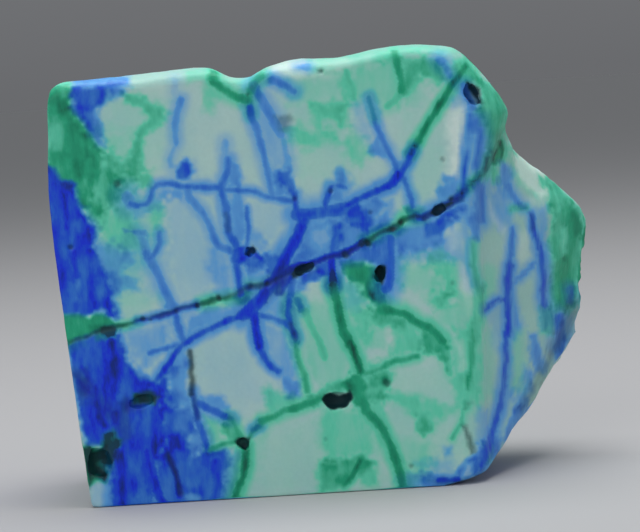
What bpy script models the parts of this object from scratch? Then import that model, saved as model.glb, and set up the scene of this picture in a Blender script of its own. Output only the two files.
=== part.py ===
"""Raw azurite malachite: a block of pale rock, sawn on its front, its left side and its foot, and broken elsewhere.

The block stands on its sawn foot with its sawn front facing -Y. It is a loft through four closed rails: the edge of
the sawn front, the rim just behind it, the shoulder where the sides end, and the edge of the broken back. The rails
share stations, which run round the block clockwise as seen from the front. The loft is then chiselled flat in
places, roughened and pitted.
"""

from collections import namedtuple
from math import cos, pi, radians, sin

import bmesh
import bpy
import numpy as np
from mathutils import Matrix, Vector, noise
from mathutils.geometry import delaunay_2d_cdt

MM = 0.001

# Driving dimensions, in millimetres.
BACK_DEPTH = 30.5  # from the sawn front to the middle of the broken back
RING_SPACING = 1.75  # between neighbouring points round the block
BACK_SPACING = 1.9  # between neighbouring points of the broken back
BACK_SETTLES = 8.0  # how far in from its edge the back reaches its full depth
RIM_RINGS = 3
SIDE_RINGS = 11
SHOULDER_RINGS = 4

# The skin of the breaks is made of lumps and of flat chips that meet in ledges: how big each is, and how far it
# stands out. CHIP_TILT is how steeply a chip leans.
LUMP_SIZE, LUMP_HEIGHT = 10.0, 0.75
CHIP_SIZE, CHIP_HEIGHT, CHIP_TILT = 7.5, 0.75, 0.26
FLAKE_SIZE, FLAKE_HEIGHT, FLAKE_TILT = 3.4, 0.2, 0.16
LEDGE_WIDTH = 0.22  # of the slope between two chips, as a share of their size
RIM_ROUGHNESS = 0.12  # the share of that skin at the rim, which is worn smooth

# Each station gives one point of each rail in millimetres: the front edge as (x, z), the others as (x, y, z).
# Its broken is how much of the broken skin its side shows: 0 where the saw left the side flat.
Station = namedtuple("Station", "front rim shoulder back broken")

LEFT_SIDE = [
    Station((-29.3, 0.0), (-29.3, 2.5, 0.0), (-29.1, 22.0, 0.0), (-25.5, 28.0, 4.0), 0.0),
    Station((-29.9, 6.5), (-29.9, 2.5, 6.5), (-29.7, 23.0, 6.5), (-26.2, 28.5, 8.5), 0.05),
    Station((-30.4, 13.6), (-30.4, 2.5, 13.6), (-30.2, 24.0, 13.6), (-26.6, 29.5, 14.5), 0.05),
    Station((-31.0, 21.5), (-31.0, 2.5, 21.5), (-30.8, 24.0, 21.5), (-27.0, 30.0, 21.5), 0.05),
    Station((-31.6, 30.0), (-31.6, 2.5, 30.0), (-31.3, 23.5, 30.0), (-27.2, 29.5, 29.0), 0.05),
    Station((-31.9, 38.6), (-31.9, 2.5, 38.6), (-31.4, 22.0, 37.6), (-27.0, 28.5, 35.0), 0.05),
    Station((-31.5, 44.8), (-31.5, 2.5, 44.8), (-31.0, 20.5, 43.0), (-26.5, 27.0, 39.4), 0.08),
    Station((-31.1, 49.3), (-31.1, 2.0, 50.5), (-30.2, 18.5, 46.8), (-25.4, 25.5, 42.2), 0.4),
]
TOP = [
    Station((-28.5, 50.4), (-28.8, 2.4, 51.5), (-28.2, 19.0, 48.0), (-24.0, 25.5, 43.0), 1.0),
    Station((-24.9, 50.4), (-24.5, 2.6, 51.6), (-24.5, 20.5, 48.6), (-21.5, 26.5, 43.6), 1.0),
    Station((-20.2, 50.1), (-20.2, 3.0, 51.7), (-20.0, 21.5, 48.4), (-18.0, 27.5, 43.8), 1.0),
    Station((-15.3, 50.4), (-15.3, 3.0, 52.1), (-15.3, 22.0, 49.0), (-14.5, 28.0, 44.2), 1.0),
    Station((-11.5, 50.5), (-11.5, 2.6, 52.1), (-11.4, 22.5, 48.6), (-11.0, 28.5, 44.0), 1.0),
    Station((-9.2, 49.4), (-9.4, 2.2, 50.9), (-9.3, 22.0, 47.8), (-9.0, 28.7, 43.5), 1.0),
    Station((-7.3, 49.2), (-7.2, 2.2, 50.6), (-7.2, 22.5, 47.6), (-7.0, 29.0, 43.3), 1.0),
    Station((-5.2, 50.5), (-4.9, 2.6, 51.7), (-4.6, 23.0, 48.6), (-4.5, 29.3, 44.0), 1.0),
    Station((-1.0, 50.4), (-0.9, 3.2, 52.5), (-0.9, 23.5, 49.2), (-1.0, 29.6, 44.4), 1.0),
    Station((3.5, 51.0), (3.5, 3.0, 52.4), (4.0, 23.5, 49.5), (3.5, 29.5, 44.3), 1.0),
    Station((7.5, 51.6), (7.6, 3.0, 53.1), (7.5, 23.0, 49.6), (6.5, 29.0, 44.0), 1.0),
    Station((11.1, 52.0), (11.2, 3.0, 53.25), (10.8, 22.5, 49.4), (9.5, 28.5, 43.5), 1.0),
    Station((14.4, 51.7), (14.9, 3.2, 53.2), (13.0, 22.0, 49.2), (11.5, 28.0, 43.0), 1.0),
    Station((16.0, 50.6), (17.6, 3.6, 52.6), (15.0, 21.0, 48.7), (13.5, 27.2, 42.2), 1.0),
]
RIGHT_SIDE = [
    Station((16.8, 49.2), (19.6, 4.5, 50.9), (17.2, 20.0, 47.6), (15.3, 26.5, 41.2), 0.9),
    Station((17.3, 47.4), (21.7, 5.5, 48.4), (19.0, 19.0, 45.4), (17.0, 26.0, 39.8), 0.8),
    Station((17.4, 44.8), (24.0, 6.5, 45.0), (20.8, 18.5, 42.3), (19.0, 26.0, 37.8), 0.8),
    Station((17.1, 40.6), (23.0, 6.5, 41.3), (26.0, 17.5, 38.6), (23.2, 26.5, 34.8), 0.7),
    Station((16.6, 34.6), (20.3, 4.5, 35.2), (30.9, 21.0, 33.8), (27.3, 28.0, 31.2), 0.5),
    Station((16.4, 28.4), (20.0, 4.0, 28.5), (34.4, 24.0, 30.4), (30.2, 29.5, 28.4), 0.5),
    Station((16.2, 22.4), (19.8, 4.0, 22.5), (34.7, 25.0, 26.6), (30.7, 30.0, 25.8), 0.5),
    Station((16.1, 16.4), (19.6, 4.0, 16.8), (34.1, 25.0, 22.4), (30.5, 30.3, 22.8), 0.5),
    Station((16.0, 10.4), (19.4, 4.0, 11.3), (33.9, 25.0, 19.2), (29.9, 30.3, 20.2), 0.5),
    Station((16.0, 5.6), (19.2, 4.0, 6.4), (32.9, 24.8, 16.6), (28.6, 30.0, 18.2), 0.5),
    Station((16.2, 2.2), (19.4, 3.8, 2.0), (31.8, 24.0, 14.1), (27.2, 29.5, 15.8), 0.5),
    Station((15.4, 0.8), (17.7, 3.8, 0.7), (24.2, 23.5, 6.3), (20.6, 29.0, 9.5), 0.5),
]
FOOT = [
    Station((13.0, 0.0), (14.3, 3.8, 0.0), (15.2, 22.0, 0.0), (12.5, 28.5, 4.4), 0.0),
    Station((-1.0, 0.0), (-1.0, 2.5, 0.0), (-1.0, 24.0, 0.0), (-1.0, 29.5, 4.3), 0.0),
    Station((-15.0, 0.0), (-15.0, 2.5, 0.0), (-15.0, 24.5, 0.0), (-14.0, 29.5, 4.6), 0.0),
]
# The rails are smooth along each run, and turn a corner where the next one starts.
RUNS = [LEFT_SIDE, TOP + RIGHT_SIDE, FOOT]

# Flat breaks across the back and the top: a point on each, and the way it faces.
BREAKS = [
    ((-14.0, 28.4, 14.0), (-0.34, 1.0, -0.26)),
    ((-17.0, 27.4, 33.0), (-0.24, 1.0, 0.38)),
    ((-4.0, 29.4, 26.0), (-0.02, 1.0, 0.05)),
    ((8.0, 28.8, 36.0), (0.16, 1.0, 0.34)),
    ((11.0, 27.8, 13.0), (0.24, 1.0, -0.46)),
    ((-2.0, 27.6, 7.0), (-0.06, 1.0, -0.52)),
    ((23.0, 28.0, 27.0), (0.52, 1.0, 0.10)),
    ((-2.0, 18.0, 49.4), (-0.05, 0.30, 1.0)),
    ((-23.0, 16.0, 49.0), (-0.20, 0.24, 1.0)),
]

# Open pits: the middle of each, its half sizes along X, Y and Z, and its turn about Y in degrees.
PITS = [
    ((1.0, 0.0, 11.2), (1.75, 1.4, 1.05), -4.0),
    ((7.1, 0.0, 26.1), (0.62, 1.2, 1.08), 12.0),
    ((-1.9, 0.0, 27.3), (1.27, 0.8, 0.60), -20.0),
    ((14.6, 0.0, 33.4), (0.85, 0.8, 0.70), -24.0),
    ((-8.3, 0.0, 29.7), (0.60, 0.8, 0.60), 0.0),
    ((-10.6, 0.0, 6.6), (0.78, 0.8, 0.70), 8.0),
    ((-22.5, 0.0, 12.5), (1.50, 0.7, 0.75), -8.0),
    ((19.3, 1.2, 46.9), (0.90, 1.4, 1.50), -30.0),
    ((-28.0, 0.2, 5.5), (1.50, 1.4, 1.95), -12.0),
    ((-11.0, 30.6, 24.0), (1.9, 1.6, 1.2), 35.0),
    ((15.0, 30.6, 21.0), (1.3, 1.5, 2.0), 15.0),
]
PIT_LUMPS = 0.3  # how far a pit's wall strays, as a share of its size


def rock_noise(point, size, seed):
    """Smooth noise from about -1 to 1 whose lumps are that many millimetres across."""
    return noise.noise(Vector(point) / size + Vector((seed, 0.37 * seed, -0.61 * seed)))


def chip_height(point, heart, height, tilt):
    """How far the flat chip round that heart stands out at a point. Both are in units of the chips' size."""
    lean = Vector([noise.noise(heart * 3.7 + Vector((0.0, shift, 11.0))) for shift in (0.0, 7.3, 15.1)])
    return height * noise.noise(heart * 5.3) + 1.6 * tilt * lean.dot(point - heart)


def chips(point, size, height, tilt, seed):
    """How far a skin of flat chips stands out at a point, in millimetres."""
    spot = Vector(point) / size + Vector((seed, 0.0, -seed))
    distances, hearts = noise.voronoi(spot)
    here = chip_height(spot, hearts[0], height, tilt * size)
    there = chip_height(spot, hearts[1], height, tilt * size)
    share = 0.5 + 0.5 * min(1.0, (distances[1] - distances[0]) / LEDGE_WIDTH)
    return share * here + (1.0 - share) * there


def broken_skin(point):
    """How far the broken skin stands out at a point, in millimetres."""
    lumps = LUMP_HEIGHT * rock_noise(point, LUMP_SIZE, 3.1)
    large = chips(point, CHIP_SIZE, CHIP_HEIGHT, CHIP_TILT, 4.0)
    small = chips(point, FLAKE_SIZE, FLAKE_HEIGHT, FLAKE_TILT, 9.0)
    return lumps + large + small


def station_row(station):
    """A station's rail points and its brokenness as one row of numbers."""
    x, z = station.front
    return np.array([x, 0.0, z, *station.rim, *station.shoulder, *station.back, station.broken])


def smooth_between(before, start, end, after, t):
    """A Catmull-Rom point between start and end."""
    return 0.5 * (
        2.0 * start
        + (end - before) * t
        + (2.0 * before - 5.0 * start + 4.0 * end - after) * t**2
        + (3.0 * start - before - 3.0 * end + after) * t**3
    )


def run_rows(run, corner):
    """The rows of one run filled in smoothly, up to but not including the corner that ends it."""
    keys = [station_row(s) for s in [*run, corner]]
    rows = []
    for i in range(len(keys) - 1):
        start, end = keys[i], keys[i + 1]
        before = keys[i - 1] if i else 2.0 * start - end
        after = keys[i + 2] if i + 2 < len(keys) else 2.0 * end - start
        gap = max(np.linalg.norm((end - start)[k : k + 3]) for k in (0, 3, 6))
        steps = max(1, round(gap / RING_SPACING))
        rows += [smooth_between(before, start, end, after, k / steps) for k in range(steps)]
    return rows


def all_rows():
    """The rows of every point round the block."""
    rows = []
    for i, run in enumerate(RUNS):
        rows += run_rows(run, RUNS[(i + 1) % len(RUNS)][0])
    return np.array(rows)


def rings_of(rows):
    """The loft's rings from the sawn front to the edge of the back, each with its points and their brokenness."""
    front, rim, shoulder, back, broken = rows[:, 0:3], rows[:, 3:6], rows[:, 6:9], rows[:, 9:12], rows[:, 12]
    rings = [(front, 0.0 * broken)]
    for k in range(1, RIM_RINGS + 1):
        turn = 0.5 * pi * k / RIM_RINGS
        reach = np.array([sin(turn), 1.0 - cos(turn), sin(turn)])
        rings.append((front + (rim - front) * reach, broken * RIM_ROUGHNESS * k / RIM_RINGS))
    for k in range(1, SIDE_RINGS + 1):
        t = k / SIDE_RINGS
        share = RIM_ROUGHNESS + (1.0 - RIM_ROUGHNESS) * min(1.0, 1.5 * t)
        rings.append((rim + (shoulder - rim) * t, broken * share))
    for k in range(1, SHOULDER_RINGS + 1):
        turn = 0.5 * pi * k / SHOULDER_RINGS
        reach = np.array([1.0 - cos(turn), sin(turn), 1.0 - cos(turn)])
        share = k / SHOULDER_RINGS
        rings.append((shoulder + (back - shoulder) * reach, broken + (1.0 - broken) * share))
    return rings


def edge_distance(point, outline):
    """The distance from a point to a closed outline, and whether it lies inside it."""
    starts, ends = outline, np.roll(outline, -1, axis=0)
    along = ends - starts
    t = np.clip(((point - starts) * along).sum(axis=1) / (along**2).sum(axis=1), 0.0, 1.0)
    distance = np.linalg.norm(starts + along * t[:, None] - point, axis=1).min()
    crosses = (starts[:, 1] > point[1]) != (ends[:, 1] > point[1])
    with np.errstate(divide="ignore", invalid="ignore"):
        cut = starts[:, 0] + along[:, 0] * (point[1] - starts[:, 1]) / along[:, 1]
    return distance, np.count_nonzero(crosses & (point[0] < cut)) % 2 == 1


def grid_inside(outline):
    """Points of a triangular grid inside an outline, with how far each is from its edge."""
    low, high = outline.min(axis=0), outline.max(axis=0)
    row_gap = BACK_SPACING * 0.866
    found = []
    for j in range(int((high[1] - low[1]) / row_gap) + 1):
        shift = 0.5 * BACK_SPACING * (j % 2)
        for i in range(int((high[0] - low[0]) / BACK_SPACING) + 1):
            point = low + np.array([i * BACK_SPACING + shift, j * row_gap])
            distance, inside = edge_distance(point, outline)
            if inside and distance > 0.6 * BACK_SPACING:
                found.append((point, distance))
    return found


def back_cover(ring):
    """The broken back: its points, the ring's first, and its triangles."""
    outline = ring[:, [0, 2]]
    inner = grid_inside(outline)
    points = [tuple(p) for p in ring]
    for (x, z), distance in inner:
        nearest = ring[np.argmin(np.linalg.norm(outline - (x, z), axis=1))][1]
        settled = min(1.0, distance / BACK_SETTLES)
        settled = settled * (2.0 - settled)
        points.append((x, nearest + (BACK_DEPTH - nearest) * settled, z))
    flat = [Vector((p[0], p[2])) for p in points]
    edges = [(i, (i + 1) % len(ring)) for i in range(len(ring))]
    faces = delaunay_2d_cdt(flat, edges, [], 1, 1e-6)[2]
    return points, faces


def chisel(bm, layer):
    """Flatten whatever stands beyond the breaks, on the broken skin alone."""
    for middle, facing in BREAKS:
        normal = Vector(facing).normalized()
        for vert in bm.verts:
            beyond = (vert.co - Vector(middle)).dot(normal)
            if beyond > 0.0:
                vert.co -= normal * (beyond * min(0.9, 1.6 * vert[layer] ** 1.5))


def roughen(bm, layer):
    """Push the broken skin out and in along its normals."""
    bm.normal_update()
    moves = [(v, v.normal * (v[layer] * broken_skin(v.co))) for v in bm.verts if v[layer] > 0.0]
    for vert, move in moves:
        vert.co += move


def block_mesh():
    """The whole block before its pits, in millimetres."""
    rings = rings_of(all_rows())
    bm = bmesh.new()
    layer = bm.verts.layers.float.new("broken")
    loops = []
    for points, broken in rings:
        loop = [bm.verts.new(p) for p in points]
        for vert, amount in zip(loop, broken):
            vert[layer] = amount
        loops.append(loop)
    for a, b in zip(loops, loops[1:]):
        for i in range(len(a)):
            j = (i + 1) % len(a)
            bm.faces.new((a[i], a[j], b[j], b[i]))
    bm.faces.new(loops[0])
    cover, faces = back_cover(rings[-1][0])
    verts = loops[-1] + [bm.verts.new(p) for p in cover[len(loops[-1]) :]]
    for vert in verts:
        vert[layer] = 1.0
    for face in faces:
        bm.faces.new([verts[i] for i in face])
    bmesh.ops.recalc_face_normals(bm, faces=bm.faces)
    chisel(bm, layer)
    roughen(bm, layer)
    bmesh.ops.triangulate(bm, faces=[f for f in bm.faces if len(f.verts) == 4])
    bm.verts.layers.float.remove(layer)
    return bm


def stone_material():
    """Satin rock, pale and faintly green and blue."""
    material = bpy.data.materials.new("azurite_malachite")
    material.use_nodes = True
    shader = material.node_tree.nodes["Principled BSDF"]
    shader.inputs["Base Color"].default_value = (0.22, 0.38, 0.36, 1.0)
    shader.inputs["Roughness"].default_value = 0.4
    shader.inputs["Metallic"].default_value = 0.0
    material.diffuse_color = (0.22, 0.38, 0.36, 1.0)
    return material


def add_object(name, bm):
    """An object holding that mesh, turned from millimetres into metres."""
    bm.transform(Matrix.Scale(MM, 4))
    mesh = bpy.data.meshes.new(name)
    bm.to_mesh(mesh)
    bm.free()
    item = bpy.data.objects.new(name, mesh)
    bpy.context.scene.collection.objects.link(item)
    return item


def pit_cutter(number, middle, sizes, turn):
    """A lumpy egg that cuts one pit."""
    bm = bmesh.new()
    bmesh.ops.create_icosphere(bm, subdivisions=2, radius=1.0)
    for vert in bm.verts:
        vert.co *= 1.0 + PIT_LUMPS * rock_noise(vert.co, 0.9, 5.0 + 7.0 * number)
    place = Matrix.Translation(Vector(middle)) @ Matrix.Rotation(radians(turn), 4, "Y")
    bm.transform(place @ Matrix.Diagonal((*sizes, 1.0)))
    cutter = add_object(f"pit_{number}", bm)
    cutter.hide_render = True
    cutter.display_type = "WIRE"
    return cutter


def centre_on_foot(bm):
    """Move the block so that its box is centred over the origin and its foot is at Z = 0. Returns the move."""
    low = Vector([min(v.co[k] for v in bm.verts) for k in range(3)])
    high = Vector([max(v.co[k] for v in bm.verts) for k in range(3)])
    move = Vector((-(low.x + high.x) / 2, -(low.y + high.y) / 2, -low.z))
    bmesh.ops.translate(bm, verts=bm.verts, vec=move)
    return move


def main():
    for item in list(bpy.data.objects):
        bpy.data.objects.remove(item)
    bm = block_mesh()
    move = centre_on_foot(bm)
    stone = add_object("stone", bm)
    stone.data.materials.append(stone_material())
    for number, (middle, sizes, turn) in enumerate(PITS):
        cut = stone.modifiers.new(f"pit_{number}", "BOOLEAN")
        cut.operation = "DIFFERENCE"
        cut.solver = "EXACT"
        cut.object = pit_cutter(number, Vector(middle) + move, sizes, turn)
    stone.data.shade_smooth()
    stone.data.set_sharp_from_angle(angle=radians(40.0))
    for face in stone.data.polygons:
        face.use_smooth = len(face.vertices) < 5


main()
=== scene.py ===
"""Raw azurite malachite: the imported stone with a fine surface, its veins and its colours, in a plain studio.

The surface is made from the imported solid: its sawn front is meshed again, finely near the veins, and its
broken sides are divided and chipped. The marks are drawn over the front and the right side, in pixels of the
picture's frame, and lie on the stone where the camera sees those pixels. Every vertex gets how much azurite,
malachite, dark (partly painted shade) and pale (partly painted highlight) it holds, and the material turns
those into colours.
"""

from collections import namedtuple
from itertools import product
from math import cos, radians, sin

import bmesh
import bpy
import numpy as np
from mathutils import Matrix, Vector
from mathutils.geometry import delaunay_2d_cdt


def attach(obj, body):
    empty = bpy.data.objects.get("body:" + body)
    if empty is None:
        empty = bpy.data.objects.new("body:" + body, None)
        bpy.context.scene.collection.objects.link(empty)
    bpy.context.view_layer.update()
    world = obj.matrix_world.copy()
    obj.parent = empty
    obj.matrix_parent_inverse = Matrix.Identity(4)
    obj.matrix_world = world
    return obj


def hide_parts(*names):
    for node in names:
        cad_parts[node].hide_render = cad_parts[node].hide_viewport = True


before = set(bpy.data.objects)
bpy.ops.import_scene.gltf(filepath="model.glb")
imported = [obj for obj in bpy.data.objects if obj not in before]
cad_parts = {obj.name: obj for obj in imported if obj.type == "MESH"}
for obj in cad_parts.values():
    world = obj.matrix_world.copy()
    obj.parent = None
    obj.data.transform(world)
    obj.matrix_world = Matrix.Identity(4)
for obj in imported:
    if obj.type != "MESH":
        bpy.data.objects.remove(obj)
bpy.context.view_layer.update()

MM = 0.001

# The drawing's origin in the part's frame, in millimetres: the foot of the front, below the camera's aim.
ORIGIN = np.array([-1.304, -15.498, 0.0])

# The camera, in the drawing's frame, in millimetres and degrees.
PICTURE = (640, 532)
PIXEL = 0.12  # millimetres of the front for each pixel
LENS, SENSOR = 150.0, 36.0
DISTANCE = PIXEL * PICTURE[0] * LENS / SENSOR
ELEVATION = radians(4.0)
ROLL = radians(3.55)
AIM_HEIGHT = 27.52
CLIP = (0.01, 10.0)  # the nearest and the farthest that it sees, in metres

# The mesh, in millimetres.
WELD = 0.002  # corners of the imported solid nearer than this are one
FLAT, SQUARE = 0.004, 0.99  # how far off a flat face a point may lie, and how squarely it faces at least
FINE = 0.23  # between neighbouring points of the front near a vein; twice that elsewhere
COARSE = 1.0  # between neighbouring points of the foot
ROW = 0.866  # from one row of a flat face's points to the next, as a share of that spacing
RIM_GAP = 0.45  # from those points to the face's rim at least, as a share of it
CUTS = 3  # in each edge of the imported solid, so that each triangle becomes 16
BUSY = 0.03  # the least amount of an ink that counts as a vein

# The sawn sides: the axis that each faces down, how squarely at least, and how far along it a side may lie.
SAWN = [(1, 0.985, 0.05), (2, 0.985, 0.05), (0, 0.97, -28.5)]
# Rounds of easing: of the line from sawn to broken, of the broken sides, of what that took away, and of the
# normals that tell what the camera sees.
BLEND, ROUND, RESTORE, BROAD = 4, 5, 8, 12
SAWN_ROUND = 0.15  # how much of the rounding the sawn sides get
# Where a side starts to be seen, turned away and on top, and where it is in full, by its normal's share
# towards the camera, away from it and up. The top is chipped only so far behind the front.
SEEN, AWAY, TOP, BEHIND = (0.0, 0.18), (0.1, 0.5), (0.6, 0.85), (5.0, 12.0)
# Chips: their size, height and tilt, and a seed. Grain: its height and size, a seed and how many noises.
CHIPS = [(2.6, 0.22, 0.2, 11), (1.1, 0.07, 0.16, 23)]
GRAIN = [(0.07, 2.2, 41, 3), (0.02, 0.8, 43, 2)]
BEVEL = 0.14  # between two chips, as a share of their size

# How far noise moves the marks, in pixels, and the size of its lumps in millimetres. Only hidden sides drift,
# by one more DRIFT for each DRIFT_DEPTH millimetres behind the front, up to DRIFT_MOST.
WARP, WARP_SIZE = 1.4, 1.3
DRIFT, DRIFT_SIZE, DRIFT_DEPTH, DRIFT_MOST = 14.0, 9.0, 6.0, 3.0
HIDDEN_DARK = 0.3  # how much of the dark ink hidden sides keep

# The marks' edges. Noise moves a patch's edge by a share of its softness and a stroke's by WOBBLE pixels.
FRAY, FRAY_SIZE = 0.6, 0.7
MOTTLE, MOTTLE_SIZE = 0.3, 1.9  # how much noise changes a strength; half as much in a stroke
UPRIGHT = 0.4  # how fast that noise changes up the stone, as a share of across it
WOBBLE = (0.6, 1.1)
FADE = (-2.4, 1.0)  # where a stroke starts and is full, in pixels inward from its edge
CORE = (0.9, 0.16)  # its strength at the edge and what its middle adds, as shares
HALO_WIDTH, HALO = 1.6, 0.48  # the tint beside it, as shares of its width and strength
MARGIN = 2.0  # pixels round a mark that noise may carry it into

# The crack's depth in millimetres, and the darkness where it starts and is full.
GROOVE, GROOVED = 0.12, (0.2, 0.7)
# Where a bead's colour and hollow fade, as shares of its radius, and how many pixels noise moves the colour.
BEAD_COLOUR, BEAD_HOLLOW, BEAD_FRAY = (0.4, 1.2), (0.3, 1.25), 0.4

# The marks, one to a line; a long one goes on after a blank. Each covers the earlier ones. A stroke has its
# ink, its width in pixels, its strength and its points; a patch its ink, how soft its edge is in pixels, its
# strength and its corners. First comes a point's column and row, then the steps from each point to the next.
# Strengths are in hundredths: 30 is a tint, 65 the mineral's own colour and 100 nearly black.
INKS = ("blue", "green", "dark", "pale")

# The crack across the front, and the green end beyond the ridge.
CRACK = """
dark 3.2 56 66,344 14,-5 12,-5 12,-4 22,-5 10,-4
dark 3.2 52 136,321 22,-5 27,-9 23,-5
dark 4 56 208,302 22,-6
dark 3.6 48 219,298 13,-3 13,-6 7,-2
dark 4.6 60 250,287 16,-2 9,-4 17,-9
dark 4.2 50 312,264 13,-5 13,-3 9,-3 8,-5 12,-5 8,-7 15,-7
dark 4.4 50 390,229 12,-8 10,-3 12,-1
dark 5.4 58 424,217 29,-14 8,-5
green 5 55 118,326 8,-1 12,-4
blue 5 68 138,321 12,-2 38,-12 8,-2
green 6 55 202,303 38,-7 8,-6
green 6 30 248,286 10,1 12,-3
blue 6 52 246,288 12,0 12,-3
blue 8 84 268,283 12,-7 12,-8 18,-4 15,-6 15,-4 18,-8 8,-5
green 6 70 366,241 16,-8 12,-4 8,-6
green 7 70 404,219 8,-2 7,-1
blue 8 70 420,218 31,-15 9,-6 5,-8
green 5 72 465,189 5,-5 7,-5 7,-6 3,-8 1,-8
dark 5 45 488,157 0,7 -2,5
green 5 85 500,143 2,7 -1,7
"""
# The trunk, from the top right down to the lower left.
TRUNK = """
green 6.5 78 466,66 -11,15 -24,37 -8,13 -11,21
blue 6.5 66 413,151 -8,16 -5,7
blue 7.5 76 400,174 -5,7 -7,5 -10,4 -12,6 -12,5 -8,5
blue 12 66 346,207 -11,3 -13,2 -14,2 -11,0
blue 10 68 305,219 -3,8
blue 11 79 302,227 -5,11 -12,20 -4,10 -5,9
blue 12 79 275,284 -10,10 -8,10 -7,7 -7,4
blue 6.5 72 244,315 -22,8 -39,21
blue 6.5 74 183,344 -6,7 -6,10 -13,17 -5,9
"""
# Veins above the trunk.
UPPER_VEINS = """
blue 6.5 12 175,82 -1,10 3,8
blue 6.5 38 181,100 -5,17 -1,9 0,10 1,7
blue 6 26 176,143 -4,8 -2,9 1,6
blue 12 36 127,197 3,6
blue 5.5 55 130,204 8,2 9,-2 4,-6 3,-8 4,-6 8,-1 12,2
blue 6 60 178,186 12,1 15,0 13,1
blue 5.5 55 226,190 14,0 10,1 10,2 8,4 24,4
blue 8 42 187,188 3,10 12,15
blue 7 50 202,213 5,8 7,17 6,8 10,5
blue 7 28 225,142 0,8 2,8
blue 7.5 58 228,160 0,11 -6,15 1,10 3,11 2,25
dark 4 35 226,214 2,17
blue 7 60 228,232 4,8 5,7 -1,11 1,12 4,24
blue 4.5 55 247,208 1,12 0,14 -1,12
blue 6 28 251,84 -2,12 0,10 2,11
green 6 45 249,92 0,12 1,10
blue 7 47 250,108 1,9 4,8 6,17 11,53
blue 9 42 254,86 3,7 5,7 12,21 4,7 3,7
blue 8 30 281,135 3,10 2,11 1,12
blue 7 50 273,80 13,6 8,5
green 7 50 262,76 -6,4 -4,6 -2,6
blue 5 30 297,67 11,0
blue 6 66 294,194 1,10 2,10 4,8
blue 6.5 70 331,188 -3,8 -2,8 0,6
blue 6 60 338,186 6,1
blue 6 50 369,98 7,26 4,10 4,9 10,17 5,12
green 5 30 369,97 5,21
blue 6 55 404,178 6,19 4,10
blue 8 40 440,61 2,2
blue 6 36 446,68 4,8
"""
# Veins beside the crack and below it.
MIDDLE_VEINS = """
blue 9 34 138,233 6,9 3,8
blue 8 45 147,252 4,10 9,18 13,28
blue 6 50 160,233 0,10 -4,9 -6,7
blue 7 62 335,228 -2,22
blue 8 88 332,258 0,10 1,16
blue 11 62 389,240 0,12 -1,12 1,12 -3,12
blue 8 55 292,280 -2,22
green 7 50 290,302 -1,10 1,10 7,21
blue 6 60 290,300 -1,12 1,10 6,18
dark 4 45 291,324 4,14
green 6 45 298,300 3,9
blue 6 36 298,300 3,9
blue 6 58 262,316 13,3 10,4 6,5
blue 8.5 80 254,314 1,11 2,12 3,10
blue 6.5 66 260,347 4,10 5,7 9,7
blue 5 55 150,353 10,-4 12,-2 9,-3
blue 6.5 58 176,314 2,11 3,11 3,7
dark 4.4 80 190,352 2,28 0,14
blue 5 62 193,390 1,12 2,10 1,9
dark 3 40 193,392 2,16 2,10
blue 6.5 56 197,402 9,4 18,10 7,2
blue 6 56 197,420 4,10 6,18
blue 11 76 216,463 2,22 -3,13
blue 7 80 169,456 3,10 3,7 3,9 2,14
dark 4.4 60 168,455 8,21 5,18
blue 5 50 252,430 8,-5
blue 5 72 438,481 21,-2
"""
# Dark streaks in the blue of the left side.
STREAKS = """
blue 9 86 65,196 2,32
blue 9 86 74,252 1,12 2,12
blue 11 90 112,344 3,14 1,16 0,18
blue 10 88 96,388 1,14 2,14 6,10
blue 9 85 82,368 6,8 4,10
blue 14 88 121,455 1,20 -1,20 0,13
blue 9.5 86 148,452 5,26 4,12 6,12
blue 14 82 138,425 -1,12 1,11
"""
# Green veins, and two dark ones low on the ridge.
GREEN_VEINS = """
green 8 62 213,74 1,8 17,12 7,3 8,2
green 6 36 347,71 2,9 4,9 1,9
green 7.5 60 394,53 6,20 2,9 0,8
green 8 36 401,92 -6,8 -8,6
green 9 76 333,286 5,20 2,12 3,11 7,15
green 7.5 84 350,342 8,19 3,10
green 5 48 296,341 1,10 2,10 4,10 3,11 2,10
green 8 36 305,312 5,13 11,22 3,10
green 6 56 363,374 10,-1 8,-4 7,-5 9,-4 11,-1 10,-3
green 8.5 70 384,308 6,3 13,3 9,5 9,6 9,3 7,6 5,7
green 7 40 442,340 4,10 1,12 3,11
green 7 60 262,421 13,-5 9,-5 12,-3 25,-9
green 5 50 249,438 3,-6 5,-5 7,-5
green 6.5 56 230,418 10,19
green 5 52 211,449 14,-5 11,-3
green 8 88 246,446 0,12 -1,9 -2,10 -4,10 -4,13
green 9 66 363,400 3,10 6,8
green 8.5 76 370,414 7,8 6,9 5,10 9,22
green 8 66 397,463 4,11 3,16
green 6 78 360,462 -6,12 -10,10
green 5 46 466,400 -3,12 -1,10 -10,16
dark 4 60 464,425 4,9 2,9 3,8
dark 3 35 466,408 5,-6
"""
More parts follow.
